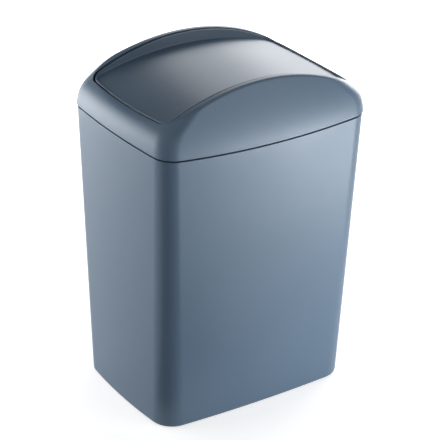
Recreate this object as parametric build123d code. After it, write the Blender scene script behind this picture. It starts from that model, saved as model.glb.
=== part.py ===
from build123d import *
import math
import os

# Swing-lid kitchen bin: a tapered bucket, a lift-off frame with two arched gables, and a dished
# flap that swings between the gables on two stub pins.  Millimetres, +Z up, origin under the middle.

# Bucket: the outline is a rounded rectangle whose four sides bow outward.
rim_length = 246.4            # along X, over the bowed sides
rim_width = 181.2             # along Y
rim_height = 300.0            # seam height at the two narrow sides
end_bow = 5.2                 # how far each narrow side bows out
side_bow = 3.9                # how far each wide side bows out
rim_corner_radius = 19.5
base_corner_radius = 24.5
base_inset = 8.4              # how much each wall leans in from rim to base
seam_dip = 5.5                # the seam sags this much at the middle of the wide sides
bucket_wall = 2.2
bucket_floor = 2.6
base_edge_radius = 3.8
floor_edge_radius = 3.0
foot_ring_width = 9.0
foot_ring_height = 1.6

# Lid frame: skin, arched top, collar round the opening and a spigot inside the rim.
frame_wall = 2.2
frame_overhang = 0.9          # the skin stands proud of the bucket by this much
arch_radius = 224.0           # front view curve of both gables
gable_rise = 57.4             # crown of the gables over the ends of the seam
gable_lean = 0.080            # slope of the wide faces at the seam
gable_face_radius = 185.0     # they then curve inward at this radius
shoulder_lean = 0.073         # slope of the narrow bands at the seam
shoulder_height = 27.0        # where the narrow bands have rounded over by shoulder_depth
shoulder_depth = 9.8
shoulder_power = 3.2
shoulder_limit = 31.0         # above this the rounding runs on straight, inside the arch
shoulder_end_slope = 0.9
frame_corner_radius = 20.0    # corner of the skin level with the flap
ridge_radius = 2.4            # rounding where skin and arched top meet
seat_gap = 0.3                # frame over bucket rim
shadow_groove_height = 1.1    # rebate that shows as the dark line of the seam
shadow_groove_depth = 1.5
spigot_clearance = 0.5
spigot_wall = 1.8
spigot_depth = 14.0
spigot_web = 2.2
collar_wall = 2.0
collar_depth = 17.0

# Opening and flap
opening_length = 222.2
opening_width = 144.3
opening_end_bow = 3.7
opening_side_bow = 0.7
opening_corner_radius = 13.5
flap_gap = 2.0                # all round
flap_drop = 1.0               # rim of the flap below the frame's arch
flap_sheet = 2.0
dish_depth = 10.6             # the field lies this far below the rim at the crown
flap_side_wall = 1.5
dish_end_lip = 0.5            # the dish runs out this far from the flap's narrow ends
dish_end_share = 0.25         # its ends slope less than its sides, by this share
dish_wall_slope = 8.0         # degrees
flap_hem = 3.5                # side walls run on below the field
flap_hem_wall = 3.0
flap_hem_length = 184.0       # the hems stop short of the corners, which pass close to the opening
mouth_edge_radius = 0.6       # edges on both sides of the gap

# Pivot: stub pins moulded on the flap, sockets in the collar
pivot_drop = 9.0              # axis below the crown of the frame
pin_radius = 3.0
pin_fit = 0.08
pin_length = 2.6
pin_nose_chamfer = 0.75
socket_boss_radius = 6.5
socket_boss_height = 1.4
snap_groove_depth = 0.7

crown_height = rim_height + gable_rise
pivot_height = crown_height - pivot_drop
cut_margin = 40.0             # how far large cutters reach past what they cut
arch_margin = 10.0            # how far the arches run past the rim
small_margin = 1.0            # how far small cutters reach past a face
roll_steps = 4                # sections that make the rolled lower edge
skin_rises = (-10, 6, 16, 24)  # lower sections of the frame's skin, over the seam
upper_skin_rise = 44


def bowed_outline(length, width, bow_on_ends, bow_on_sides, corner_radius, height):
    """Wire of four shallow side arcs joined by four tangent corner arcs, at the given height."""
    half_x = length / 2
    half_y = width / 2
    chord_x = half_x - bow_on_ends
    chord_y = half_y - bow_on_sides
    side_radius = (chord_x ** 2 + bow_on_sides ** 2) / (2 * bow_on_sides)
    end_radius = (chord_y ** 2 + bow_on_ends ** 2) / (2 * bow_on_ends)
    side_centre = Vector(0, half_y - side_radius)
    end_centre = Vector(half_x - end_radius, 0)
    # the corner's centre lies where both arcs, shrunk by its radius, cross
    reach_side = side_radius - corner_radius
    reach_end = end_radius - corner_radius
    between = end_centre - side_centre
    spacing = between.length
    along = (reach_side ** 2 - reach_end ** 2 + spacing ** 2) / (2 * spacing)
    across = math.sqrt(reach_side ** 2 - along ** 2)
    direction = between.normalized()
    normal = Vector(direction.Y, -direction.X)
    corner = side_centre + direction * along + normal * across
    on_side = side_centre + (corner - side_centre).normalized() * side_radius
    on_end = end_centre + (corner - end_centre).normalized() * end_radius
    outward = (on_side + on_end) / 2 - corner
    on_corner = corner + outward.normalized() * corner_radius

    def at(point, sign_x, sign_y):
        return Vector(point.X * sign_x, point.Y * sign_y, height)

    top = Vector(0, half_y)
    right = Vector(half_x, 0)
    edges = [
        ThreePointArc(at(on_end, 1, -1), at(right, 1, 1), at(on_end, 1, 1)),
        ThreePointArc(at(on_end, 1, 1), at(on_corner, 1, 1), at(on_side, 1, 1)),
        ThreePointArc(at(on_side, 1, 1), at(top, 1, 1), at(on_side, -1, 1)),
        ThreePointArc(at(on_side, -1, 1), at(on_corner, -1, 1), at(on_end, -1, 1)),
        ThreePointArc(at(on_end, -1, 1), at(right, -1, 1), at(on_end, -1, -1)),
        ThreePointArc(at(on_end, -1, -1), at(on_corner, -1, -1), at(on_side, -1, -1)),
        ThreePointArc(at(on_side, -1, -1), at(top, 1, -1), at(on_side, 1, -1)),
        ThreePointArc(at(on_side, 1, -1), at(on_corner, 1, -1), at(on_end, 1, -1)),
    ]
    return Wire(edges)


def bucket_section(height, inset):
    """Outline of the tapered wall at a height, moved inward by inset."""
    rise = height / rim_height
    lean = base_inset * (1 - rise)
    corner = base_corner_radius + (rim_corner_radius - base_corner_radius) * rise
    length = rim_length - 2 * (lean + inset)
    width = rim_width - 2 * (lean + inset)
    return bowed_outline(length, width, end_bow, side_bow, corner - inset, height)


def tapered_block(low, high, inset):
    """Solid between two heights that follows the bucket's wall, moved inward by inset."""
    return Solid.make_loft([bucket_section(low, inset), bucket_section(high, inset)], ruled=True)


def rounded_block(low, high, inset, edge_radius):
    """Tapered block whose lower edge rolls under at edge_radius."""
    roll = []
    for step in range(roll_steps + 1):
        turn = math.pi / 2 * step / roll_steps
        height = low + edge_radius * (1 - math.cos(turn))
        roll.append(bucket_section(height, inset + edge_radius * (1 - math.sin(turn))))
    return Solid.make_loft(roll) + tapered_block(low + edge_radius, high, inset)


def plan_prism(length, width, bow_on_ends, bow_on_sides, corner_radius, low, high):
    """Upright prism on a bowed outline."""
    outline = bowed_outline(length, width, bow_on_ends, bow_on_sides, corner_radius, low)
    return extrude(Face(outline), amount=high - low, dir=(0, 0, 1))


def opening_prism(growth, low, high):
    """Prism on the opening's outline, grown outward or, if negative, shrunk inward."""
    length = opening_length + 2 * growth
    width = opening_width + 2 * growth
    corner = opening_corner_radius + growth
    return plan_prism(length, width, opening_end_bow, opening_side_bow, corner, low, high)


def below_arch(radius, crown):
    """Everything under an arch that spans the bin along X: a long prism along Y."""
    half_span = rim_length / 2 + arch_margin
    end_height = crown - radius + math.sqrt(radius ** 2 - half_span ** 2)
    floor_height = rim_height / 2
    outline = Wire([
        ThreePointArc((-half_span, 0, end_height), (0, 0, crown), (half_span, 0, end_height)),
        Line((half_span, 0, end_height), (half_span, 0, floor_height)),
        Line((half_span, 0, floor_height), (-half_span, 0, floor_height)),
        Line((-half_span, 0, floor_height), (-half_span, 0, end_height)),
    ])
    return extrude(Face(outline), amount=rim_width, dir=(0, 1, 0), both=True)


def above_seam(lift):
    """Everything over the sagging seam surface, raised by lift."""
    half_span = rim_length / 2 + cut_margin
    half_rim = rim_length / 2
    seam_radius = (half_rim ** 2 + seam_dip ** 2) / (2 * seam_dip)
    lowest = rim_height - seam_dip + lift
    end_height = lowest + seam_radius - math.sqrt(seam_radius ** 2 - half_span ** 2)
    ceiling = crown_height + cut_margin
    outline = Wire([
        ThreePointArc((-half_span, 0, end_height), (0, 0, lowest), (half_span, 0, end_height)),
        Line((half_span, 0, end_height), (half_span, 0, ceiling)),
        Line((half_span, 0, ceiling), (-half_span, 0, ceiling)),
        Line((-half_span, 0, ceiling), (-half_span, 0, end_height)),
    ])
    return extrude(Face(outline), amount=rim_width, dir=(0, 1, 0), both=True)


def shoulder_inset(rise):
    """Inset of the narrow bands at a height over the seam, and its slope."""
    rounded = min(max(rise, 0), shoulder_limit)
    curve = shoulder_depth * (rounded / shoulder_height) ** shoulder_power
    slope = shoulder_lean + shoulder_power * curve / max(rounded, 1)
    inset = shoulder_lean * min(rise, shoulder_limit) + curve
    if rise > shoulder_limit:
        inset += shoulder_end_slope * (rise - shoulder_limit)
        slope = shoulder_end_slope
    return inset, slope


def gable_inset(rise):
    """Inset of the wide faces at a height over the seam, and its slope."""
    inset = gable_lean * rise + rise * abs(rise) / (2 * gable_face_radius)
    slope = gable_lean + rise / gable_face_radius
    return inset, slope


def skin_section(rise, wall):
    """Outline of the frame's skin at a height over the seam, moved inward by its wall."""
    end_inset, end_slope = shoulder_inset(rise)
    side_inset, side_slope = gable_inset(rise)
    end_inset += wall * math.hypot(1, end_slope)
    side_inset += wall * math.hypot(1, side_slope)
    share = min(max(rise / shoulder_height, 0), 1)
    corner = rim_corner_radius + (frame_corner_radius - rim_corner_radius) * share
    length = rim_length + 2 * (frame_overhang - end_inset)
    width = rim_width + 2 * (frame_overhang - side_inset)
    return bowed_outline(length, width, end_bow, side_bow, corner - wall, rim_height + rise)


def skin_block(wall):
    """Solid block inside the frame's skin, from below the seam to over the crown."""
    top = gable_rise + 2 * small_margin
    rises = [*skin_rises, shoulder_limit, upper_skin_rise, top]
    return Solid.make_loft([skin_section(rise, wall) for rise in rises])


def gap_edges(solid):
    """Upper edges of a solid that run round the gap between frame and flap."""
    near_gap = []
    reach_x = opening_length / 2 + small_margin
    reach_y = opening_width / 2 + small_margin
    arch_end = crown_height - arch_radius + math.sqrt(arch_radius ** 2 - (opening_length / 2) ** 2)
    lowest = arch_end - 2 * flap_drop - small_margin
    for edge in solid.edges():
        middle = edge.position_at(0.5)
        within = abs(middle.X) < reach_x and abs(middle.Y) < reach_y
        if within and min(middle.Z, edge.position_at(0).Z) > lowest:
            near_gap.append(edge)
    return ShapeList(near_gap)


def make_bucket():
    outer = rounded_block(0, rim_height, 0, base_edge_radius)
    hollow = rounded_block(bucket_floor, rim_height + 1, bucket_wall, floor_edge_radius)
    recess = tapered_block(-1, foot_ring_height, foot_ring_width)
    bucket = outer - hollow - recess
    return bucket - above_seam(0)


def socket_plane(side):
    """Plane on the collar's inner face at the pivot, looking outward on the given side."""
    return Plane(origin=(0, side * opening_width / 2, pivot_height), z_dir=(0, side, 0))


def make_socket_boss(side):
    """Round boss that thickens the collar behind a socket."""
    boss_length = collar_wall + socket_boss_height
    return extrude(socket_plane(side) * Circle(socket_boss_radius), amount=boss_length)


def make_socket_hole(side):
    """Cutter for a socket, through the collar and its boss."""
    circle = Circle(pin_radius + pin_fit)
    hole_length = collar_wall + socket_boss_height + small_margin
    hole = extrude(socket_plane(side) * circle, amount=hole_length)
    return hole + extrude(socket_plane(side) * circle, amount=-2 * small_margin)


def make_snap_groove(side):
    """Shallow groove up the collar's inner face that leads a stub pin to its socket."""
    inner_face = side * (opening_width / 2)
    width = 2 * (pin_radius + pin_fit)
    centre = (0, inner_face, pivot_height - collar_depth / 2)
    return Pos(*centre) * Box(width, 2 * snap_groove_depth, collar_depth)


def make_lid_frame():
    low = rim_height - cut_margin
    high = crown_height + cut_margin
    outer = skin_block(0) & below_arch(arch_radius, crown_height)
    ridge = [edge for edge in outer.edges() if edge.center().Z > rim_height + shoulder_height / 2]
    outer = fillet(ShapeList(ridge), ridge_radius) - opening_prism(0, low, high)
    outer = fillet(gap_edges(outer), mouth_edge_radius)
    hollow = skin_block(frame_wall) & below_arch(arch_radius - frame_wall, crown_height - frame_wall)
    hollow = hollow & above_seam(seat_gap + spigot_web)
    frame = (outer & above_seam(seat_gap)) - hollow
    # the rim web ends at the spigot's inner face
    fit_inset = bucket_wall + spigot_clearance
    well = tapered_block(low, rim_height + spigot_web + 1, fit_inset + spigot_wall)
    frame = frame - well
    # the spigot hangs inside the bucket's rim
    spigot = tapered_block(rim_height - spigot_depth, rim_height + spigot_web, fit_inset)
    spigot = (spigot - well) - above_seam(seat_gap + spigot_web)
    frame = frame + spigot
    # the collar hangs from the arched top, round the opening
    collar = opening_prism(collar_wall, rim_height, high) & below_arch(arch_radius, crown_height - frame_wall / 2)
    collar = collar - below_arch(arch_radius - collar_depth, crown_height - collar_depth)
    frame = frame + collar
    for side in (-1, 1):
        frame = frame + make_socket_boss(side)
    frame = frame - opening_prism(0, low, high)
    for side in (-1, 1):
        frame = frame - make_socket_hole(side) - make_snap_groove(side)
    # rebate under the skin's lower edge, the dark line of the seam
    groove = skin_block(0) & above_seam(0)
    groove = groove - above_seam(seat_gap + shadow_groove_height)
    groove = groove - tapered_block(low, rim_height + spigot_web, shadow_groove_depth)
    return frame - groove


def make_swing_flap():
    high = crown_height + cut_margin
    rim_crown = crown_height - flap_drop
    rim_arch_radius = arch_radius - flap_drop
    half_length = opening_length / 2 - flap_gap
    end_drop = rim_arch_radius - math.sqrt(rim_arch_radius ** 2 - half_length ** 2)
    # the field meets the rim at both ends and lies dish_depth below it at the crown
    field_crown = rim_crown - dish_depth
    field_rise = end_drop - dish_depth
    field_radius = (half_length ** 2 + field_rise ** 2) / (2 * field_rise)
    flap = opening_prism(-flap_gap, rim_height, high) & below_arch(rim_arch_radius, rim_crown)
    # underside: the sheet in the middle, and the hems along both sides
    flap = flap - below_arch(field_radius - flap_sheet - flap_hem, field_crown - flap_sheet - flap_hem)
    pocket_width = opening_width - 2 * (flap_gap + flap_hem_wall)
    pocket_height = 2 * (high - rim_height)
    pocket = Pos(0, 0, rim_height) * Box(opening_length, pocket_width, pocket_height)
    end_length = (opening_length - flap_hem_length) / 2
    for end in (-1, 1):
        end_centre = end * (flap_hem_length + end_length) / 2
        pocket = pocket + Pos(end_centre, 0, rim_height) * Box(end_length, opening_width, pocket_height)
    flap = fillet(gap_edges(flap), mouth_edge_radius)
    flap = flap - (pocket & below_arch(field_radius - flap_sheet, field_crown - flap_sheet))
    # dish: a cutter with sloping walls that stops at the field
    mouth_width = opening_width - 2 * (flap_gap + flap_side_wall)
    mouth_length = opening_length - 2 * (flap_gap + dish_end_lip)
    mouth_corner = opening_corner_radius - flap_gap - flap_side_wall
    mouth = bowed_outline(mouth_length, mouth_width, opening_end_bow, opening_side_bow, mouth_corner, rim_crown)
    foot_drop = 2 * dish_depth + end_drop
    slope_inset = foot_drop * math.tan(math.radians(dish_wall_slope))
    foot = bowed_outline(
        mouth_length - dish_end_share * slope_inset,
        mouth_width - 2 * slope_inset,
        opening_end_bow,
        opening_side_bow,
        mouth_corner - dish_end_share * slope_inset,
        rim_crown - foot_drop,
    )
    dish = Solid.make_loft([foot, mouth], ruled=True)
    dish = dish - below_arch(field_radius, field_crown)
    flap = flap - dish
    for side in (-1, 1):
        flap = flap + make_stub_pin(side)
    return flap


def make_stub_pin(side):
    """Stub pin with a rounded nose on the outer face of the flap's side wall."""
    root = side * (opening_width / 2 - flap_gap - flap_side_wall / 2)
    length = pin_length + flap_gap + flap_side_wall / 2
    plane = Plane(origin=(0, root, pivot_height), z_dir=(0, side, 0))
    pin = extrude(plane * Circle(pin_radius), amount=length)
    nose = pin.edges().sort_by(Axis.Y)[-1 if side > 0 else 0]
    return chamfer(nose, pin_nose_chamfer)


os.makedirs("parts", exist_ok=True)
pieces = {
    "bucket": make_bucket(),
    "lid_frame": make_lid_frame(),
    "swing_flap": make_swing_flap(),
}
for name, piece in pieces.items():
    piece.label = name
    export_step(piece, f"parts/{name}.step")
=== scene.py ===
import math

import bpy
import numpy as np
from mathutils import Matrix, Vector


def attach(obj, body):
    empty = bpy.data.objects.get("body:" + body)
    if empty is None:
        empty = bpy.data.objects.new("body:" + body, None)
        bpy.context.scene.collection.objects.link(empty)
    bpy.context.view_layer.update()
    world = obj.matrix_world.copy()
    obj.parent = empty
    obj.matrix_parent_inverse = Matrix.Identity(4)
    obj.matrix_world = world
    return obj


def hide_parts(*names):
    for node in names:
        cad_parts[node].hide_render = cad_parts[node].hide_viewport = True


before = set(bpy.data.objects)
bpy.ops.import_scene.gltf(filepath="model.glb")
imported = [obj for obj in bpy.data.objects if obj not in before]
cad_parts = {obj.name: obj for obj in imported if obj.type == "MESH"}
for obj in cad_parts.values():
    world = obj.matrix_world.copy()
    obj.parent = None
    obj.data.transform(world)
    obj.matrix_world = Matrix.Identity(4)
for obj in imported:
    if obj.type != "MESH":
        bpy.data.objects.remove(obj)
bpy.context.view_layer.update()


# The bucket.  The real piece is one injection moulding in polypropylene: four walls that lean out
# to the rim and bow a little, a base raised on a foot ring, and an even wall all over.  It stands
# on its foot ring and carries everything else on its rim.
MM = 0.001
rim_length, rim_width, rim_height = 246.4 * MM, 181.2 * MM, 300.0 * MM
end_bow, side_bow = 5.2 * MM, 3.9 * MM
rim_corner, base_corner = 19.5 * MM, 24.5 * MM
base_inset, seam_dip = 8.4 * MM, 5.5 * MM
bucket_wall, bucket_floor = 2.2 * MM, 2.6 * MM
base_roll, floor_roll = 3.8 * MM, 3.0 * MM
foot_ring_width, foot_ring_height = 9.0 * MM, 1.6 * MM
rim_edge = 0.5 * MM
end_steps, corner_steps, side_steps = 44, 40, 76
wall_rows, base_rows, floor_rows = 26, 8, 10
# the small flat face in the middle of a sheet, as a share of the sheet's own size
cap_share = 0.02

# every ring counts its points alike: a quarter runs from the middle of an end, round the corner,
# to the middle of a side, and the other three quarters mirror it
quarter_steps = end_steps + corner_steps + side_steps
round_place = np.arange(4 * quarter_steps)
quarter, step_in_quarter = round_place // quarter_steps, round_place % quarter_steps
step_back = quarter_steps - step_in_quarter
quarter_place = np.where(quarter % 2 == 0, step_in_quarter, step_back).astype(float)
flip_x = np.where((quarter == 1) | (quarter == 2), -1.0, 1.0)
flip_y = np.where(quarter >= 2, -1.0, 1.0)


def outline_circles(length, width, bow_on_ends, bow_on_sides, corner):
    """The circles of a rounded rectangle with bowed sides, in its first quarter.

    Every side is a shallow circle through its middle and its chord's ends.  Each corner is a
    circle that touches both, so its centre is where the two side circles, shrunk by the corner's
    radius, cross.  Gives the side's and the end's radius, how far their centres lie along their
    axes, and the corner's centre.
    """
    half_x, half_y = length / 2 + np.zeros(1), width / 2 + np.zeros(1)
    chord_x, chord_y = half_x - bow_on_ends, half_y - bow_on_sides
    side_radius = (chord_x ** 2 + bow_on_sides ** 2) / (2 * bow_on_sides)
    end_radius = (chord_y ** 2 + bow_on_ends ** 2) / (2 * bow_on_ends)
    side_y, end_x = half_y - side_radius, half_x - end_radius
    reach_side, reach_end = side_radius - corner, end_radius - corner
    spacing = np.hypot(end_x, side_y)
    along = (reach_side ** 2 - reach_end ** 2 + spacing ** 2) / (2 * spacing)
    across = np.sqrt(reach_side ** 2 - along ** 2)
    toward_x, toward_y = end_x / spacing, -side_y / spacing
    corner_x = toward_x * along + toward_y * across
    corner_y = side_y + toward_y * along - toward_x * across
    return side_radius, end_radius, side_y, end_x, corner_x, corner_y


def bowed_outline(length, width, bow_on_ends, bow_on_sides, corner):
    """Rounded rectangle with bowed sides, as x and y round the bin: each quarter follows the end's
    circle, the corner's and the side's.  Sizes are single numbers or change from point to point."""
    circles = outline_circles(length, width, bow_on_ends, bow_on_sides, corner)
    side_radius, end_radius, side_y, end_x, corner_x, corner_y = circles
    side_turn = np.arctan2(corner_x, corner_y - side_y)
    end_turn = np.arctan2(corner_y, corner_x - end_x)
    on_end, on_corner = quarter_place <= end_steps, quarter_place <= end_steps + corner_steps
    end_now = np.minimum(quarter_place / end_steps, 1) * end_turn
    corner_share = np.clip((quarter_place - end_steps) / corner_steps, 0, 1)
    corner_now = end_turn + corner_share * (math.pi / 2 - side_turn - end_turn)
    side_share = np.clip((quarter_place - end_steps - corner_steps) / side_steps, 0, 1)
    side_now = (1 - side_share) * side_turn
    corner_run_x = corner_x + corner * np.cos(corner_now)
    corner_run_y = corner_y + corner * np.sin(corner_now)
    x = np.where(on_end, end_x + end_radius * np.cos(end_now), corner_run_x)
    y = np.where(on_end, end_radius * np.sin(end_now), corner_run_y)
    x = np.where(on_corner, x, side_radius * np.sin(side_now))
    y = np.where(on_corner, y, side_y + side_radius * np.cos(side_now))
    return np.stack([x * flip_x, y * flip_y], axis=-1)


def wall_sizes(height, inset):
    """Length, width and corner of the leaning wall, which shrinks evenly toward the base."""
    rise = height / rim_height
    lean = base_inset * (1 - rise) + inset
    corner = base_corner + (rim_corner - base_corner) * rise - inset
    return rim_length - 2 * lean, rim_width - 2 * lean, corner


def bucket_ring(height, inset):
    """Ring of points on the wall, moved inward by inset."""
    length, width, corner = wall_sizes(height, inset)
    plan = bowed_outline(length, width, end_bow, side_bow, corner)
    return np.column_stack([plan, height + np.zeros(len(plan))])


def seam_height(x):
    """The seam is a shallow circle that sags by seam_dip midway between the narrow sides."""
    half_rim = rim_length / 2
    radius = (half_rim ** 2 + seam_dip ** 2) / (2 * seam_dip)
    return rim_height - seam_dip + radius - np.sqrt(radius ** 2 - x ** 2)


def seam_ring(inset):
    """Ring on the bucket's wall that follows the seam."""
    start = bucket_ring(rim_height, inset)
    return bucket_ring(seam_height(start[:, 0]), inset)


def rows_between(first, last, count):
    """Evenly spaced rings from the first to just before the last."""
    share = (np.arange(count) / count)[:, None, None]
    return list(first + (last - first) * share)


def rounded_corner(before, at, after, size_before, size_after, count=6, most=0.45):
    """Rings that round a corner by a parabola that touches both flanks.  It begins and ends the
    given sizes away from the corner, or at most that share of the flank."""
    # added to each flank, so that one of no length can be divided by
    tiny = 1e-9
    to_before, to_after = before - at, after - at
    length_before = np.linalg.norm(to_before, axis=1, keepdims=True) + tiny
    length_after = np.linalg.norm(to_after, axis=1, keepdims=True) + tiny
    size_before, size_after = np.reshape(size_before, (-1, 1)), np.reshape(size_after, (-1, 1))
    start = at + to_before / length_before * np.minimum(size_before, most * length_before)
    end = at + to_after / length_after * np.minimum(size_after, most * length_after)
    share = np.linspace(0, 1, count)[:, None, None]
    return list(start * (1 - share) ** 2 + at * 2 * share * (1 - share) + end * share ** 2)


def rounded_corners(stops, size):
    """Rings that round each stop of a section alike, apart from the first and the last stop."""
    rings = []
    for before, at, after in zip(stops, stops[1:], stops[2:]):
        rings += rounded_corner(before, at, after, size, size)
    return rings


def drawn_in(ring):
    """The ring shrunk toward the bin's axis at its own height, to one that a small face closes."""
    return ring * [0, 0, 1] + (ring * [1, 1, 0]) * cap_share


def shade_smooth(mesh):
    """Smooth shading on every face."""
    mesh.polygons.foreach_set("use_smooth", [True] * len(mesh.polygons))


def ring_mesh(name, rings, closed):
    """Mesh through rings of points, with a quad between neighbours.  A closed section joins its
    last ring to its first, and an open one is shut at both ends by a flat face."""
    rings = np.asarray(rings, dtype=np.float64)
    count, around = rings.shape[:2]
    number = np.arange(count * around).reshape(count, around)
    lower = number if closed else number[:-1]
    upper = np.roll(number, -1, axis=0) if closed else number[1:]
    quad_corners = [lower, np.roll(lower, -1, 1), np.roll(upper, -1, 1), upper]
    quads = np.stack(quad_corners, axis=-1).reshape(-1, 4)
    points = rings.reshape(-1, 3)
    corners = points[quads]
    normal = np.cross(corners[:, 2] - corners[:, 0], corners[:, 3] - corners[:, 1])
    inward = np.einsum("ij,ij->i", corners.mean(1), normal).sum() < 0
    if inward:
        quads = quads[:, ::-1]
    faces = quads.tolist()
    if not closed:
        first, last = number[0].tolist(), number[-1].tolist()
        faces += [first if inward else first[::-1], last[::-1] if inward else last]
    mesh = bpy.data.meshes.new(name)
    mesh.from_pydata(points.tolist(), [], faces)
    mesh.validate()
    shade_smooth(mesh)
    mesh.update()
    piece = bpy.data.objects.new(name, mesh)
    bpy.context.scene.collection.objects.link(piece)
    return piece


def roll_rings(low, radius, inset, count=10):
    """Rings of a quarter circle that rolls the base into the wall."""
    rings = []
    for turn in np.linspace(0, math.pi / 2, count):
        lift, inward = radius * (1 - math.cos(turn)), radius * (1 - math.sin(turn))
        rings.append(bucket_ring(low + lift, inset + inward))
    return rings


def bucket_rings():
    """The wall's section, carried round: underside, foot ring, outside, rim, inside and floor."""
    recess_foot = bucket_ring(foot_ring_height, foot_ring_width)
    ring_inside = bucket_ring(0.0, foot_ring_width)
    middle = drawn_in(recess_foot)
    roll = roll_rings(0.0, base_roll, 0.0)
    rim_outer, rim_inner = seam_ring(0.0), seam_ring(bucket_wall)
    share = (np.arange(1, wall_rows) / wall_rows)[:, None]
    wall_height = base_roll + (rim_outer[:, 2] - base_roll) * share
    outside = [bucket_ring(height, 0.0) for height in wall_height]
    inner_low = bucket_floor + floor_roll
    inner_height = inner_low + (rim_inner[:, 2] - inner_low) * share[::-1]
    inside = [bucket_ring(height, bucket_wall) for height in inner_height]
    inner_roll = roll_rings(bucket_floor, floor_roll, bucket_wall)[::-1]
    floor_edge, floor_middle = inner_roll[-1], drawn_in(inner_roll[-1])
    rings = rows_between(middle, recess_foot, base_rows)
    rings += rounded_corners([middle, recess_foot, ring_inside, roll[0]], rim_edge)
    rings += roll + outside
    rings += rounded_corners([outside[-1], rim_outer, rim_inner, inside[0]], rim_edge)
    rings += inside + inner_roll
    rings += rows_between(floor_edge, floor_middle, floor_rows)[1:] + [floor_middle]
    return rings


def map_range(tree, value, low, high, to_low=0.0, to_high=1.0):
    """Map Range node: what lies between low and high comes out between the two new limits."""
    node = tree.nodes.new("ShaderNodeMapRange")
    limits = {"From Min": low, "From Max": high, "To Min": to_low, "To Max": to_high}
    for label, limit in limits.items():
        node.inputs[label].default_value = limit
    tree.links.new(value, node.inputs["Value"])
    return node.outputs["Result"]


def math_node(tree, operation, first, second, clamp=False):
    """Math node on two values."""
    node = tree.nodes.new("ShaderNodeMath")
    node.operation, node.use_clamp = operation, clamp
    tree.links.new(first, node.inputs[0])
    tree.links.new(second, node.inputs[1])
    return node.outputs["Value"]


def skin_grain_and_highlight_group():
    """The mould's fine texture on satin plastic, which gives a bump and small changes of gloss and of
    tone, and a painted highlight that makes rims and edges a little paler."""
    group = bpy.data.node_groups.new("moulded_skin_and_edge_highlight", "ShaderNodeTree")
    sockets = group.interface
    # the last input sets how strongly rims and edges get a painted highlight
    inputs = (("Colour", None), ("Roughness", 0.4), ("Grain size", 900.0), ("Edge highlight", 0.3))
    for label, default in inputs:
        kind = "NodeSocketColor" if default is None else "NodeSocketFloat"
        socket = sockets.new_socket(label, in_out="INPUT", socket_type=kind)
        if default is not None:
            socket.default_value = default
    sockets.new_socket("Colour", in_out="OUTPUT", socket_type="NodeSocketColor")
    sockets.new_socket("Roughness", in_out="OUTPUT", socket_type="NodeSocketFloat")
    sockets.new_socket("Height", in_out="OUTPUT", socket_type="NodeSocketFloat")
    nodes, links = group.nodes, group.links
    enter, leave = nodes.new("NodeGroupInput"), nodes.new("NodeGroupOutput")
    place = nodes.new("ShaderNodeTexCoord")
    # fine texture of the mould
    grain = nodes.new("ShaderNodeTexNoise")
    grain.inputs["Detail"].default_value = 3.0
    grain.inputs["Roughness"].default_value = 0.6
    links.new(place.outputs["Object"], grain.inputs["Vector"])
    links.new(enter.outputs["Grain size"], grain.inputs["Scale"])
    # slow drift of tone and gloss where the plastic flowed and cooled
    drift_low, drift_high, drift_change = 0.3, 0.7, 0.03
    drift = nodes.new("ShaderNodeTexNoise")
    drift.inputs["Scale"].default_value = 7.0
    drift.inputs["Detail"].default_value = 2.0
    links.new(place.outputs["Object"], drift.inputs["Vector"])
    drifting = drift.outputs["Fac"]
    tone = map_range(group, drifting, drift_low, drift_high, 1 - drift_change, 1 + drift_change)
    gloss = map_range(group, drifting, drift_low, drift_high, -drift_change, drift_change)
    shade = nodes.new("ShaderNodeMix")
    shade.data_type, shade.blend_type = "RGBA", "MULTIPLY"
    shade.inputs["Factor"].default_value = 1.0
    links.new(enter.outputs["Colour"], shade.inputs["A"])
    links.new(tone, shade.inputs["B"])
    # painted highlight: rims and edges, where the surface turns sharply, are painted paler
    edge_from, edge_full, painted_edge_highlight_tint = 0.52, 0.62, (0.12, 0.14, 0.16, 1.0)
    geometry = nodes.new("ShaderNodeNewGeometry")
    edge = map_range(group, geometry.outputs["Pointiness"], edge_from, edge_full)
    highlit = nodes.new("ShaderNodeMix")
    highlit.data_type, highlit.blend_type = "RGBA", "SCREEN"
    highlit.inputs["B"].default_value = painted_edge_highlight_tint
    links.new(math_node(group, "MULTIPLY", edge, enter.outputs["Edge highlight"]), highlit.inputs["Factor"])
    links.new(shade.outputs["Result"], highlit.inputs["A"])
    rough = math_node(group, "ADD", enter.outputs["Roughness"], gloss)
    links.new(highlit.outputs["Result"], leave.inputs["Colour"])
    links.new(rough, leave.inputs["Roughness"])
    links.new(grain.outputs["Fac"], leave.inputs["Height"])
    return group


def satin_plastic(name, colour, roughness, edge_highlight):
    """Satin polypropylene in one colour, with the mould's texture and a painted highlight on edges
    from the shared group.
    """
    material = bpy.data.materials.new(name)
    material.use_nodes = True
    nodes, links = material.node_tree.nodes, material.node_tree.links
    shader = nodes["Principled BSDF"]
    skin = nodes.new("ShaderNodeGroup")
    skin.node_tree = moulded_skin_and_edge_highlight
    skin.inputs["Colour"].default_value = (*colour, 1.0)
    skin.inputs["Roughness"].default_value = roughness
    # how strongly rims and edges get a painted highlight
    skin.inputs["Edge highlight"].default_value = edge_highlight
    bump = nodes.new("ShaderNodeBump")
    bump.inputs["Strength"].default_value = 0.12
    bump.inputs["Distance"].default_value = 0.2 * MM
    links.new(skin.outputs["Height"], bump.inputs["Height"])
    links.new(skin.outputs["Colour"], shader.inputs["Base Color"])
    links.new(skin.outputs["Roughness"], shader.inputs["Roughness"])
    links.new(bump.outputs["Normal"], shader.inputs["Normal"])
    shader.inputs["IOR"].default_value = 1.49
    shader.inputs["Specular Tint"].default_value = (0.86, 0.94, 1.0, 1.0)
    return material


slate_blue = (0.078, 0.126, 0.188)
moulded_skin_and_edge_highlight = skin_grain_and_highlight_group()
bucket = ring_mesh("bucket_moulding", bucket_rings(), closed=False)
# the last number sets the painted highlight on rims and edges
bucket.data.materials.append(satin_plastic("bucket_satin", slate_blue, roughness=0.42, edge_highlight=0.3))
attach(bucket, "bucket")
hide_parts("bucket")

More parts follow.
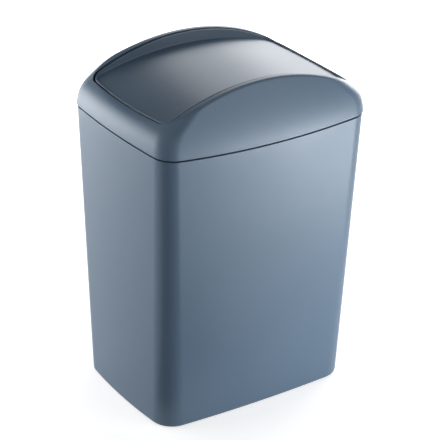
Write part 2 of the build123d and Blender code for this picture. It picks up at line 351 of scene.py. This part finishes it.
# The lid frame.  One moulding in the same plastic: a skin that stands a little proud of the rim,
# two arched gables, and a collar round the opening.  It drops onto the rim, held by a spigot
# inside it, and its collar carries the flap's sockets.
frame_wall, frame_overhang = 2.2 * MM, 0.85 * MM
arch_radius, crown_height = 224.0 * MM, 357.35 * MM
gable_lean, gable_face_radius = 0.080, 185.0 * MM
shoulder_lean, shoulder_power, shoulder_end_slope = 0.073, 3.4, 1.15
shoulder_height, shoulder_depth, shoulder_limit = 27.0 * MM, 8.6 * MM, 27.0 * MM
frame_corner = 20.0 * MM
seat_gap, groove_height, groove_depth = 0.3 * MM, 1.8 * MM, 2.4 * MM
spigot_inset, spigot_wall, spigot_depth, spigot_web = 2.7 * MM, 1.8 * MM, 14.0 * MM, 2.2 * MM
collar_wall, collar_depth = 2.0 * MM, 17.0 * MM
pivot_height, pin_radius, socket_radius = 348.4 * MM, 3.0 * MM, 3.08 * MM
boss_radius, boss_height, snap_groove_depth = 6.5 * MM, 1.4 * MM, 0.7 * MM
opening_length, opening_width = 222.2 * MM, 144.3 * MM
opening_end_bow, opening_side_bow, opening_corner = 3.7 * MM, 0.7 * MM, 13.5 * MM
# the ridge is rounded down the skin, and over the land by a length or at most a share of it
ridge_skin, ridge_land, ridge_share, ridge_rows = 2.25 * MM, 2.4 * MM, 0.6, 14
# the land between ridge and opening has a least width, and at the ends rises by a share of it
least_land, end_rise = 0.9 * MM, 0.8
# the ceiling begins a step outside the collar, whose root keeps a least depth below the mouth
ceiling_step, least_roof = 0.5 * MM, 0.7 * frame_wall
mouth_edge_above, mouth_edge, inner_edge = 0.3 * MM, 0.5 * MM, 0.3 * MM
# where the skin and its ridge are looked for, and how often a range is halved
ray_back, ray_out = -30 * MM, 50 * MM
ridge_above_rim, ridge_above_crown = 8 * MM, 1 * MM
ray_halvings, ridge_halvings, seam_rounds = 32, 24, 3
skin_rows, mouth_rows, collar_rows, inner_rows = 36, 6, 5, 12
bar_sides, sharp_angle = 64, math.radians(40)
# how far the sockets' cutter reaches past the collar's face and past the boss
cut_before, cut_past = 2 * MM, 1 * MM


def arch_height(x, radius, crown):
    """Height of an arch over the bin: a circle in the front view."""
    return crown - radius + np.sqrt(radius ** 2 - x ** 2)


def opening_ring(growth, height_of):
    """Ring on the opening's outline, grown or shrunk, at the height that height_of gives for x."""
    plan = bowed_outline(
        opening_length + 2 * growth,
        opening_width + 2 * growth,
        opening_end_bow,
        opening_side_bow,
        opening_corner + growth,
    )
    return np.column_stack([plan, height_of(plan[:, 0])])


def outside_by(plan, length, width, bow_on_ends, bow_on_sides, corner):
    """How far points lie outside a bowed outline: the distance beyond its corner circle where they
    face the corner, and else beyond the nearer of its two side circles."""
    circles = outline_circles(length, width, bow_on_ends, bow_on_sides, corner)
    side_radius, end_radius, side_y, end_x, corner_x, corner_y = circles
    x, y = np.abs(plan[:, 0]), np.abs(plan[:, 1])
    past_side = x * (corner_y - side_y) > (y - side_y) * corner_x
    past_end = y * (corner_x - end_x) > (x - end_x) * corner_y
    at_corner = np.hypot(x - corner_x, y - corner_y) - corner
    at_side = np.hypot(x, y - side_y) - side_radius
    at_end = np.hypot(x - end_x, y) - end_radius
    return np.where(past_side & past_end, at_corner, np.maximum(at_side, at_end))


def skin_sizes(height, wall):
    """Length, width and corner of the frame's skin: the narrow ends round over by a power of the
    height and go on at an even slope, and the wide faces lean back on a large circle."""
    rise = height - rim_height
    rounded = np.clip(rise, 0, shoulder_limit)
    over = np.maximum(rise - shoulder_limit, 0)
    curve = shoulder_depth * (rounded / shoulder_height) ** shoulder_power
    end_slope = shoulder_lean + shoulder_power * curve / np.maximum(rounded, MM)
    end_slope = np.where(over > 0, shoulder_end_slope, end_slope)
    end_inset = shoulder_lean * np.minimum(rise, shoulder_limit) + curve + shoulder_end_slope * over
    side_slope = gable_lean + rise / gable_face_radius
    side_inset = gable_lean * rise + rise * np.abs(rise) / (2 * gable_face_radius)
    end_inset = end_inset + wall * np.hypot(1, end_slope) - frame_overhang
    side_inset = side_inset + wall * np.hypot(1, side_slope) - frame_overhang
    corner = rim_corner + (frame_corner - rim_corner) * np.clip(rise / shoulder_height, 0, 1) - wall
    return rim_length - 2 * end_inset, rim_width - 2 * side_inset, corner


def halve(passed, low, high, steps):
    """Value between two limits at which a test begins to hold, found by halving the range."""
    low, high = low + np.zeros(len(flip_x)), high + np.zeros(len(flip_x))
    for _ in range(steps):
        middle = (low + high) / 2
        beyond = passed(middle)
        low, high = np.where(beyond, low, middle), np.where(beyond, middle, high)
    return (low + high) / 2


# every ring of the frame has its points on rays that leave the opening's edge at right angles
mouth_plan = opening_ring(0.0, np.zeros_like)[:, :2]
mouth_along = np.roll(mouth_plan, -1, axis=0) - np.roll(mouth_plan, 1, axis=0)
mouth_out = np.column_stack([mouth_along[:, 1], -mouth_along[:, 0]])
mouth_out /= np.linalg.norm(mouth_out, axis=1, keepdims=True)


def reach(sizes, height, wall):
    """Distance along each ray from the opening's edge to the outline at a height."""
    length, width, corner = sizes(height, wall)

    def passed(way):
        plan = mouth_plan + mouth_out * way[:, None]
        return outside_by(plan, length, width, end_bow, side_bow, corner) > 0

    return halve(passed, ray_back, ray_out, ray_halvings)


def ray_ring(sizes, height, wall):
    """Ring on the rays, on the outline at a height."""
    height = height + np.zeros(len(flip_x))
    plan = mouth_plan + mouth_out * reach(sizes, height, wall)[:, None]
    return np.column_stack([plan, height])


def seam_on_rays(sizes, lift, wall):
    """Ring on the rays that follows the seam, raised by lift: each round brings it nearer."""
    ring = ray_ring(sizes, rim_height, wall)
    for _ in range(seam_rounds):
        ring = ray_ring(sizes, seam_height(ring[:, 0]) + lift, wall)
    return ring


def skin_meets(height_of, wall, least):
    """Ring where the skin meets a surface of given height, or comes this close to the opening."""
    def passed(height):
        ring = ray_ring(skin_sizes, height, wall)
        way = np.einsum("ij,ij->i", ring[:, :2] - mouth_plan, mouth_out)
        return (height > height_of(ring[:, 0])) | (way < least)

    lowest, highest = rim_height + ridge_above_rim, crown_height + ridge_above_crown
    return ray_ring(skin_sizes, halve(passed, lowest, highest, ridge_halvings), wall)


def frame_top(x):
    """The arched top."""
    return arch_height(x, arch_radius, crown_height)


def frame_ceiling(x):
    """Underside of the arched top."""
    return arch_height(x, arch_radius - frame_wall, crown_height - frame_wall)


def collar_foot(x):
    """Lower edge of the collar."""
    return arch_height(x, arch_radius - collar_depth, crown_height - collar_depth)


def frame_rings():
    """The frame's section, carried round: skin, ridge, top, collar, ceiling, web and spigot.

    Along the gables the skin meets the arched top in a ridge.  At the narrow ends the shoulder
    itself rolls over to the opening's edge, so the mouth there lies as high as the shoulder does.
    """
    ridge = skin_meets(frame_top, 0.0, least_land)
    land = np.linalg.norm(ridge[:, :2] - mouth_plan, axis=1)
    mouth_height = np.minimum(frame_top(mouth_plan[:, 0]), ridge[:, 2] + end_rise * land)
    mouth = np.column_stack([mouth_plan, mouth_height])
    skin_foot = seam_on_rays(skin_sizes, seat_gap + groove_height, 0.0)
    skin_low, skin_rise = skin_foot[:, 2], ridge[:, 2] - ridge_skin - skin_foot[:, 2]
    skin_share = np.arange(1, skin_rows + 1) / skin_rows
    skin = [ray_ring(skin_sizes, skin_low + skin_rise * part, 0.0) for part in skin_share]
    collar_inner = opening_ring(0.0, collar_foot)
    collar_outer = np.column_stack([mouth_plan + mouth_out * collar_wall, collar_inner[:, 2]])
    ceiling_edge = skin_meets(frame_ceiling, frame_wall, collar_wall + ceiling_step)
    root_height = np.minimum(frame_ceiling(collar_outer[:, 0]), ceiling_edge[:, 2] + ceiling_step)
    root_height = np.minimum(root_height, mouth_height - least_roof)
    collar_root = np.column_stack([collar_outer[:, :2], root_height])
    web_top = seat_gap + spigot_web
    inner_foot = seam_on_rays(skin_sizes, web_top, frame_wall)
    inner_high, inner_drop = ceiling_edge[:, 2], inner_foot[:, 2] - ceiling_edge[:, 2]
    inner_share = np.arange(1, inner_rows) / inner_rows
    inner = [ray_ring(skin_sizes, inner_high + inner_drop * part, frame_wall) for part in inner_share]
    spigot_low = rim_height - spigot_depth
    well_top = seam_on_rays(wall_sizes, web_top, spigot_inset + spigot_wall)
    well_foot = ray_ring(wall_sizes, spigot_low, spigot_inset + spigot_wall)
    spigot_foot = ray_ring(wall_sizes, spigot_low, spigot_inset)
    spigot_top = seam_on_rays(wall_sizes, seat_gap, spigot_inset)
    groove_foot = seam_on_rays(wall_sizes, seat_gap, groove_depth)
    groove_top = seam_on_rays(wall_sizes, seat_gap + groove_height, groove_depth)
    hidden = [inner[-1], inner_foot, well_top, well_foot, spigot_foot, spigot_top, groove_foot]
    # the ridge is rounded from the skin's last row, which lies less than past_skin away
    past_skin, past_ridge = 1.0, np.minimum(ridge_land, ridge_share * land)
    rings = rounded_corners([groove_top, skin_foot, skin[0]], inner_edge)
    rings += skin[:-1]
    rings += rounded_corner(skin[-1], ridge, mouth, past_skin, past_ridge, ridge_rows, most=1.0)
    rings += rounded_corner(ridge, mouth, collar_inner, mouth_edge_above, mouth_edge)
    rings += rows_between(mouth, collar_inner, mouth_rows)[1:]
    rings += rounded_corners([mouth, collar_inner, collar_outer, collar_root], inner_edge)
    rings += rows_between(collar_outer, collar_root, collar_rows)[1:]
    rings += rounded_corners([collar_outer, collar_root, ceiling_edge, inner[0]], inner_edge)
    rings += inner
    rings += rounded_corners(hidden, inner_edge)
    rings += rounded_corners([spigot_top, groove_foot, groove_top, skin_foot], inner_edge / 2)
    return rings


def round_bar(name, side, distance, radius):
    """Bar along Y on one side of the bin: a circle about the pivot's axis at each distance."""
    turns = np.linspace(0, 2 * math.pi, bar_sides, endpoint=False)
    distance, radius = np.asarray(distance, float), np.asarray(radius, float)
    x = radius[:, None] * np.cos(turns)
    z = pivot_height + radius[:, None] * np.sin(turns)
    y = side * distance[:, None] + 0 * x
    return ring_mesh(name, np.stack([x, y, z], axis=-1), closed=False)


def square_bar(name, side, half_width, half_depth, low, high):
    """Upright square bar centred on the collar's inner face."""
    x = half_width * np.array([-1, 1, 1, -1])
    y = side * opening_width / 2 + half_depth * np.array([-1, -1, 1, 1])
    rings = [np.column_stack([x, y, np.full(len(x), height)]) for height in (low, high)]
    return ring_mesh(name, rings, closed=False)


def reshape(piece, tool, operation):
    """Joins a tool to a piece or cuts it out, and keeps only the resulting mesh."""
    change = piece.modifiers.new("shape", "BOOLEAN")
    change.operation, change.object, change.solver = operation, tool, "EXACT"
    evaluated = piece.evaluated_get(bpy.context.evaluated_depsgraph_get())
    shaped = bpy.data.meshes.new_from_object(evaluated)
    piece.modifiers.clear()
    piece.data = shaped
    bpy.data.objects.remove(tool)


lid = ring_mesh("lid_frame_moulding", frame_rings(), closed=True)
collar_face, collar_back = opening_width / 2, opening_width / 2 + collar_wall
boss_span = (collar_face + collar_wall / 2, collar_back + boss_height)
hole_span = (collar_face - cut_before, collar_back + boss_height + cut_past)
lead_in_sizes = (socket_radius, snap_groove_depth, pivot_height - collar_depth, pivot_height)
for lid_side in (-1, 1):
    reshape(lid, round_bar("boss", lid_side, boss_span, (boss_radius, boss_radius)), "UNION")
    hole = round_bar("socket", lid_side, hole_span, (socket_radius, socket_radius))
    reshape(lid, hole, "DIFFERENCE")
    reshape(lid, square_bar("lead_in", lid_side, *lead_in_sizes), "DIFFERENCE")
shade_smooth(lid.data)
lid.data.set_sharp_from_angle(angle=sharp_angle)
# the last number sets the painted highlight on rims and edges
lid.data.materials.append(satin_plastic("lid_satin", slate_blue, roughness=0.40, edge_highlight=0.5))
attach(lid, "lid_frame")
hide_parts("lid_frame")

# The swing flap.  One moulding: an arched sheet, sunk between two side walls whose rims follow
# the gables, with a stub pin on each wall.  The walls flex inward to snap the pins into the
# frame's sockets, and the flap hangs from them and falls shut by its own weight.
flap_gap, flap_drop, flap_sheet = 2.0 * MM, 1.0 * MM, 2.0 * MM
flap_side_wall, flap_end_wall, flap_edge = 1.5 * MM, 1.2 * MM, 0.6 * MM
dish_depth, dish_end_depth = 10.6 * MM, 0.8 * MM
dish_slope, dish_end_share = math.tan(math.radians(8.0)), 0.25
dish_foot_soft, dish_mouth_soft, dish_soft_share = 1.2 * MM, 0.5 * MM, 0.4
flap_hem, flap_hem_wall, flap_hem_length = 3.5 * MM, 3.0 * MM, 184.0 * MM
# the hem runs out over a short length at its ends, and hangs along the wide sides only
hem_fade, hem_beyond = 2.0 * MM, 0.4 * opening_width
field_rows, hem_rows, below_rows = 40, 5, 16
pin_end, nose_size, nose_rows = 2.6 * MM, pin_radius / 4, 7


def flap_rim(x):
    """The rim's arch, just below the frame's."""
    return arch_height(x, arch_radius - flap_drop, crown_height - flap_drop)


half_flap = opening_length / 2 - flap_gap
rim_crown = float(flap_rim(0.0))
field_rise = rim_crown - float(flap_rim(half_flap)) - dish_depth + dish_end_depth
field_radius = (half_flap ** 2 + field_rise ** 2) / (2 * field_rise)


def flap_field(x):
    """The sunk sheet: a flatter arch that nearly meets the rim at both ends."""
    return arch_height(x, field_radius, rim_crown - dish_depth)


def flap_underside(x, drop=0.0):
    """Underside of the sunk sheet, lowered by drop where the hem hangs."""
    return flap_field(x) - flap_sheet - drop


def dish_depth_at(x):
    """How deep the sunk sheet lies below the rim."""
    return np.maximum(flap_rim(x) - flap_field(x), 0)


def dish_ring(depth_share):
    """Ring on the dish's sloping wall, from the rim (0) down to the field (1).  The ends slope
    less than the sides."""
    start = opening_ring(-flap_gap - flap_side_wall, flap_rim)
    run = dish_depth_at(start[:, 0]) * depth_share * dish_slope
    inset = flap_gap + flap_side_wall + run
    plan = bowed_outline(
        opening_length - 2 * (flap_gap + flap_end_wall + run * dish_end_share),
        opening_width - 2 * inset,
        opening_end_bow,
        opening_side_bow,
        opening_corner - inset,
    )
    x = plan[:, 0]
    return np.column_stack([plan, flap_rim(x) - dish_depth_at(x) * depth_share])


def flap_rings():
    """The flap's section, carried round: field, dish wall, rim, outer wall, hem and underside."""
    foot, mouth = dish_ring(1.0), dish_ring(0.0)
    outer = opening_ring(-flap_gap, flap_rim)
    hem_here = np.clip((flap_hem_length / 2 - np.abs(outer[:, 0])) / hem_fade, 0, 1)
    hem_here = np.where(np.abs(outer[:, 1]) > hem_beyond, hem_here, 0)
    hem_drop, root_edge = flap_hem * hem_here, inner_edge * hem_here
    hem_plan = opening_ring(-flap_gap - flap_hem_wall, flap_rim)[:, :2]
    hem_outer = np.column_stack([outer[:, :2], flap_underside(outer[:, 0], hem_drop)])
    hem_inner = np.column_stack([hem_plan, flap_underside(hem_plan[:, 0], hem_drop)])
    hem_root = np.column_stack([hem_plan, flap_underside(hem_plan[:, 0])])
    # the sheet's two faces are rings that shrink toward the middle
    field_share = (np.arange(field_rows) / field_rows)[:, None, None]
    field_plan = foot[:, :2] * (1 - field_share * (1 - cap_share))
    field = np.concatenate([field_plan, flap_field(field_plan[..., :1])], axis=2)[::-1]
    below_share = (np.arange(1, below_rows) / below_rows)[:, None, None]
    below_plan = hem_plan * (1 - below_share * (1 - cap_share))
    below = np.concatenate([below_plan, flap_underside(below_plan[..., :1])], axis=2)
    soft_most = dish_depth_at(mouth[:, 0]) * dish_soft_share
    foot_soft = np.minimum(dish_foot_soft, soft_most)
    mouth_soft = np.minimum(dish_mouth_soft, soft_most)
    rings = list(field[:-1])
    rings += rounded_corner(field[-2], foot, mouth, foot_soft, foot_soft)
    rings += rounded_corner(foot, mouth, outer, mouth_soft, dish_mouth_soft)
    rings += rounded_corners([mouth, outer, hem_outer], flap_edge)
    rings += rows_between(outer, hem_outer, hem_rows)[1:]
    rings += rounded_corners([outer, hem_outer, hem_inner], inner_edge)
    rings += rounded_corner(hem_outer, hem_inner, hem_root, inner_edge, root_edge)
    rings += rounded_corner(hem_inner, hem_root, below[0], root_edge, inner_edge)
    rings += list(below)
    return rings


def stub_pin(name, side):
    """Stub pin: a round bar from the wall into the socket, with a rounded nose."""
    root = opening_width / 2 - flap_gap - flap_side_wall / 2
    nose_root = opening_width / 2 + pin_end - nose_size
    turn = np.linspace(0, math.pi / 2, nose_rows)
    distance = np.concatenate([[root], nose_root + nose_size * np.sin(turn)])
    radius = np.concatenate([[pin_radius], pin_radius - nose_size * (1 - np.cos(turn))])
    bar = round_bar(name, side, distance, radius)
    bar.data.set_sharp_from_angle(angle=sharp_angle)
    return bar


# the last number sets the painted highlight on rims and edges
flap_material = satin_plastic("flap_satin", slate_blue, roughness=0.34, edge_highlight=0.6)
flap = ring_mesh("swing_flap_moulding", flap_rings(), closed=False)
flap.data.materials.append(flap_material)
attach(flap, "swing_flap")
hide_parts("swing_flap")
for pin_name, pin_side in (("pivot_pin_front", -1), ("pivot_pin_back", 1)):
    pin = stub_pin(pin_name, pin_side)
    pin.data.materials.append(flap_material)
    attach(pin, "swing_flap")

# The studio.  A pale floor that keeps the bin's soft shadow, soft square lamps at the left, at the
# right and behind the flap, two dark cards for the gloss, and a white room that lights the bin
# only a little.
white, pale, nearly_black = (1.0, 1.0, 1.0, 1.0), (0.7, 0.7, 0.7, 1.0), (0.02, 0.02, 0.02, 1.0)
floor_size, glow_from, glow_full, glow_near = 6.0, 0.25, 0.9, 0.62
bin_middle = Vector((0, 0, rim_height / 2))


def background_rays(tree):
    """1 for the rays that show the background: seen directly, mirrored, or through clear pieces."""
    path = tree.nodes.new("ShaderNodeLightPath")
    total = path.outputs["Is Camera Ray"]
    for kind in ("Is Glossy Ray", "Is Transmission Ray"):
        total = math_node(tree, "ADD", total, path.outputs[kind], clamp=True)
    return total


def studio_piece(name, points, faces, material):
    """Object of the studio, which isn't part of the bin."""
    mesh = bpy.data.meshes.new(name)
    mesh.from_pydata(points, [], faces)
    mesh.materials.append(material)
    piece = bpy.data.objects.new(name, mesh)
    bpy.context.scene.collection.objects.link(piece)
    return piece


# the floor glows white where it shows the background, and less near the bin, to keep its shadow
floor_material = bpy.data.materials.new("studio_floor")
floor_material.use_nodes = True
floor_tree = floor_material.node_tree
floor_shader = floor_tree.nodes["Principled BSDF"]
floor_shader.inputs["Base Color"].default_value = pale
floor_shader.inputs["Roughness"].default_value = 0.9
floor_shader.inputs["Emission Color"].default_value = white
floor_place = floor_tree.nodes.new("ShaderNodeTexCoord")
floor_away = floor_tree.nodes.new("ShaderNodeVectorMath")
floor_away.operation = "LENGTH"
floor_tree.links.new(floor_place.outputs["Object"], floor_away.inputs[0])
floor_glow = map_range(floor_tree, floor_away.outputs["Value"], glow_from, glow_full, glow_near, 1.0)
floor_seen = math_node(floor_tree, "MULTIPLY", background_rays(floor_tree), floor_glow)
floor_tree.links.new(floor_seen, floor_shader.inputs["Emission Strength"])
floor_corners = [(-1, -1), (1, -1), (1, 1), (-1, 1)]
floor_points = [(x * floor_size, y * floor_size, 0.0) for x, y in floor_corners]
floor = studio_piece("studio_floor", floor_points, [(0, 1, 2, 3)], floor_material)


def compass(turn, lift):
    """Direction away from the bin: turn 0 points to the front (-Y), a quarter turn to +X, and
    lift raises it.  Both are in radians."""
    flat = np.cos(lift)
    return np.stack([np.sin(turn) * flat, -np.cos(turn) * flat, np.sin(lift)], axis=-1)


# dark cards, seen in the plastic's gloss alone: one on the floor before the near corner, and a
# patch of a sphere high behind the bin, which the flap's left half mirrors
card_near, card_far, card_lift, patch_radius = 0.16, 1.5, 1 * MM, 1.4
card_turn = np.radians(np.linspace(-74, 6, 17))
card_out = compass(card_turn, 0 * card_turn)
card_points = np.concatenate([card_out * card_near, card_out[::-1] * card_far]) + [0, 0, card_lift]
card_faces = [list(range(len(card_points)))]
patch_turns, patch_lifts = np.linspace(158, 225, 9), np.linspace(24, 75, 7)
patch_turn, patch_lift = np.meshgrid(np.radians(patch_turns), np.radians(patch_lifts))
patch_points = compass(patch_turn, patch_lift).reshape(-1, 3) * patch_radius + [0, 0, rim_height]
patch_number = np.arange(len(patch_points)).reshape(patch_turn.shape) + len(card_points)
patch_low, patch_high = patch_number[:-1], patch_number[1:]
patch_corners = [patch_low[:, :-1], patch_low[:, 1:], patch_high[:, 1:], patch_high[:, :-1]]
card_faces += np.stack(patch_corners, axis=-1).reshape(-1, 4).tolist()
card_points = np.concatenate([card_points, patch_points]).tolist()
card_material = bpy.data.materials.new("dark_card")
card_material.use_nodes = True
card_shader = card_material.node_tree.nodes["Principled BSDF"]
card_shader.inputs["Base Color"].default_value = nearly_black
card = studio_piece("dark_card", card_points, card_faces, card_material)
card.visible_camera = card.visible_diffuse = card.visible_shadow = False

room = bpy.data.worlds.new("room")
bpy.context.scene.world = room
room.use_nodes = True
room_nodes, room_links = room.node_tree.nodes, room.node_tree.links
room_light = room_nodes["Background"]
room_light.inputs["Color"].default_value = white
room_light.inputs["Strength"].default_value = 0.22
room_seen = room_nodes.new("ShaderNodeBackground")
room_seen.inputs["Color"].default_value = white
room_seen.inputs["Strength"].default_value = 1.0
room_pick = room_nodes.new("ShaderNodeMixShader")
room_links.new(background_rays(room.node_tree), room_pick.inputs["Fac"])
room_links.new(room_light.outputs["Background"], room_pick.inputs[1])
room_links.new(room_seen.outputs["Background"], room_pick.inputs[2])
room_links.new(room_pick.outputs["Shader"], room_nodes["World Output"].inputs["Surface"])


def studio_lamp(name, azimuth, elevation, distance, size, power):
    """Square soft lamp that faces the bin's middle: a compass direction and a height in degrees,
    distance and size in metres, and power in watts."""
    away = Vector(compass(math.radians(azimuth), math.radians(elevation)))
    lamp = bpy.data.lights.new(name, "AREA")
    lamp.shape, lamp.size, lamp.energy = "SQUARE", size, power
    holder = bpy.data.objects.new(name, lamp)
    holder.location = bin_middle + away * distance
    holder.rotation_euler = away.to_track_quat("Z", "Y").to_euler()
    holder.visible_camera = False
    bpy.context.scene.collection.objects.link(holder)


studio_lamp("lamp_left", -120, 10, 1.5, 1.0, 10.5)
studio_lamp("lamp_left_back", -150, 2, 1.0, 0.6, 6.1)
studio_lamp("lamp_right", 42, -7, 0.7, 0.12, 2.2)
studio_lamp("lamp_right_low", 28, -7, 0.7, 0.12, 1.1)
studio_lamp("lamp_front", 20, 20, 1.5, 0.8, 3.5)
studio_lamp("lamp_flap_right", 110, 12, 1.6, 0.7, 11.0)
studio_lamp("lamp_flap", 125, 18, 1.6, 0.9, 5.0)
studio_lamp("lamp_flap_high", 146, 28, 1.6, 0.9, 4.0)

# The camera, matched to the photograph.  A long lens stands nearly two metres off at the front
# left and one metre up, looks down on the bin, and is rolled by a little over one degree.
view_azimuth, view_elevation, view_roll = -0.5903, 0.4626, 0.0220
stand_azimuth, stand_elevation, stand_distance = -0.5884, 0.4746, 6.1829 * rim_height
stand = Vector(compass(stand_azimuth, stand_elevation)) * stand_distance + bin_middle
back = Vector(compass(view_azimuth, view_elevation))
right = (-back).cross(Vector((0, 0, 1))).normalized()
up = back.cross(right)
tilted_right = right * math.cos(view_roll) + up * math.sin(view_roll)
tilted_up = up * math.cos(view_roll) - right * math.sin(view_roll)
lens = bpy.data.cameras.new("camera")
lens.sensor_width, lens.lens = 36.0, 147.8
lens.shift_x, lens.shift_y = -0.00125, 0.00136
camera = bpy.data.objects.new("camera", lens)
camera.matrix_world = Matrix((
    (tilted_right.x, tilted_up.x, back.x, stand.x),
    (tilted_right.y, tilted_up.y, back.y, stand.y),
    (tilted_right.z, tilted_up.z, back.z, stand.z),
    (0, 0, 0, 1),
))
bpy.context.scene.collection.objects.link(camera)
bpy.context.scene.camera = camera
bpy.context.scene.view_settings.view_transform = "Standard"
